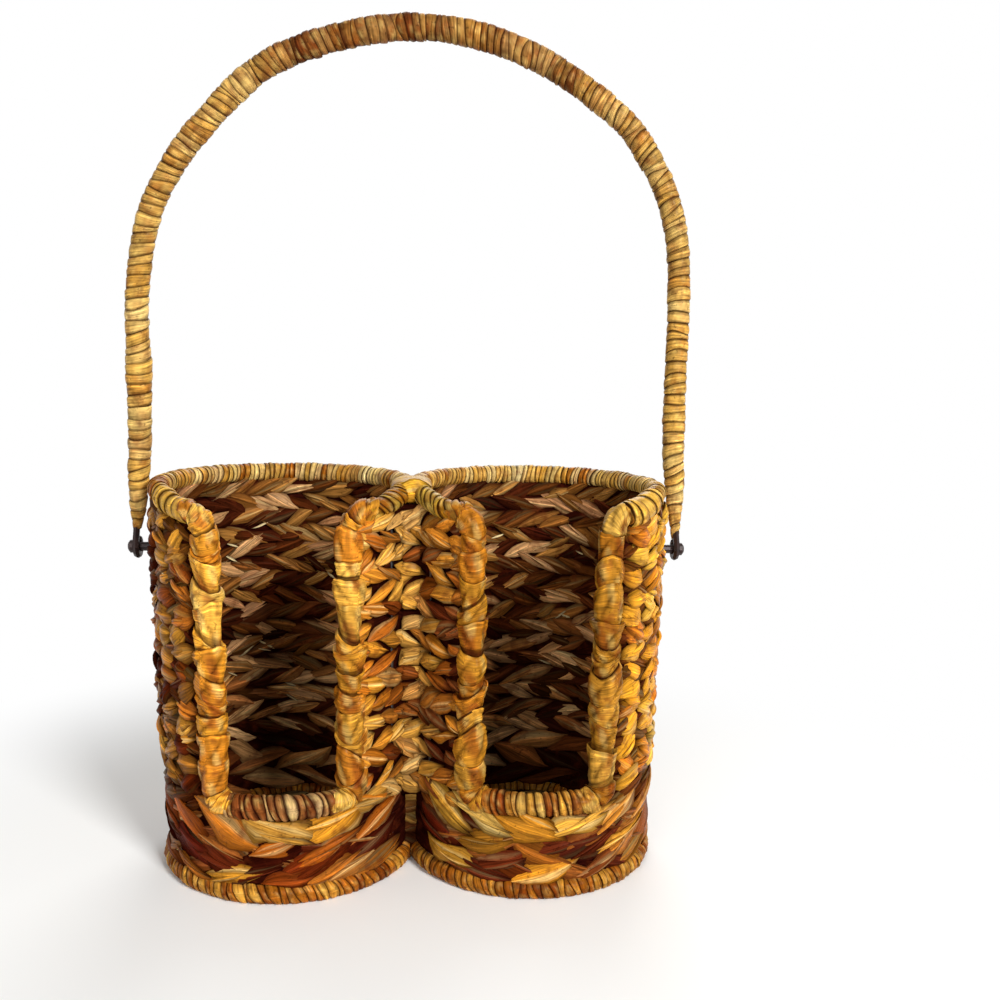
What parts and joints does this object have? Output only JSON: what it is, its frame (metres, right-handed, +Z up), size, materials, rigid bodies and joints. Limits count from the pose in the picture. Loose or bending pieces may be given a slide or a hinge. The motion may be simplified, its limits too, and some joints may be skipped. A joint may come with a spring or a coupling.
{
  "type": "wine bottle basket",
  "caption": "Open-fronted carrier of two joined round woven-leaf cells on a wire frame, rims and openings wrapped in leaf, with a tall wrapped bail handle that swings on side pins.",
  "frame": {"origin": "on the floor, midway between the two cells, under the centre of the basket", "axes": "+X to the right cell, -Y to the open fronts, +Z up towards the handle's arch"},
  "size_m": [0.2502, 0.118, 0.3664],
  "materials": {
    "grey_wire": "plain drawn steel wire, dull grey",
    "dark_wire": "dark lacquered wire, near black",
    "honey_wrap": "flat strips of dried leaf, wound and lacquered, honey gold",
    "brown_wrap": "narrow strips of dried leaf, wound close and lacquered, brown",
    "woven_leaf": "twisted dried leaf, twined in slanting courses and lacquered, gold to red brown",
    "floor_leaf": "twined dried leaf, dark olive brown"
  },
  "bodies": {
    "basket": {"left_wire_cage": "grey_wire", "left_opening_hoop": "grey_wire", "left_floor_spokes": "grey_wire", "left_pivot_pin": "dark_wire", "left_rim_wrap_back": "honey_wrap", "left_rim_wrap_front": "honey_wrap", "left_outer_jamb_wrap": "honey_wrap", "left_inner_jamb_wrap": "honey_wrap", "left_sill_wrap": "honey_wrap", "left_base_wrap": "brown_wrap", "left_woven_wall": "woven_leaf", "left_woven_floor": "floor_leaf", "right_wire_cage": "grey_wire", "right_opening_hoop": "grey_wire", "right_floor_spokes": "grey_wire", "right_pivot_pin": "dark_wire", "right_rim_wrap_back": "honey_wrap", "right_rim_wrap_front": "honey_wrap", "right_outer_jamb_wrap": "honey_wrap", "right_inner_jamb_wrap": "honey_wrap", "right_sill_wrap": "honey_wrap", "right_base_wrap": "brown_wrap", "right_woven_wall": "woven_leaf", "right_woven_floor": "floor_leaf", "rim_binding": "honey_wrap", "base_binding": "brown_wrap"},
    "handle": {"handle_wire": "dark_wire", "handle_wrap": "brown_wrap"}
  },
  "joints": [
    {"name": "handle_swing", "type": "hinge", "parent": "basket", "child": "handle", "pos_m": [0, 0, 0.1445], "axis": [1, 0, 0], "range_deg": [-125, 125]}
  ]
}
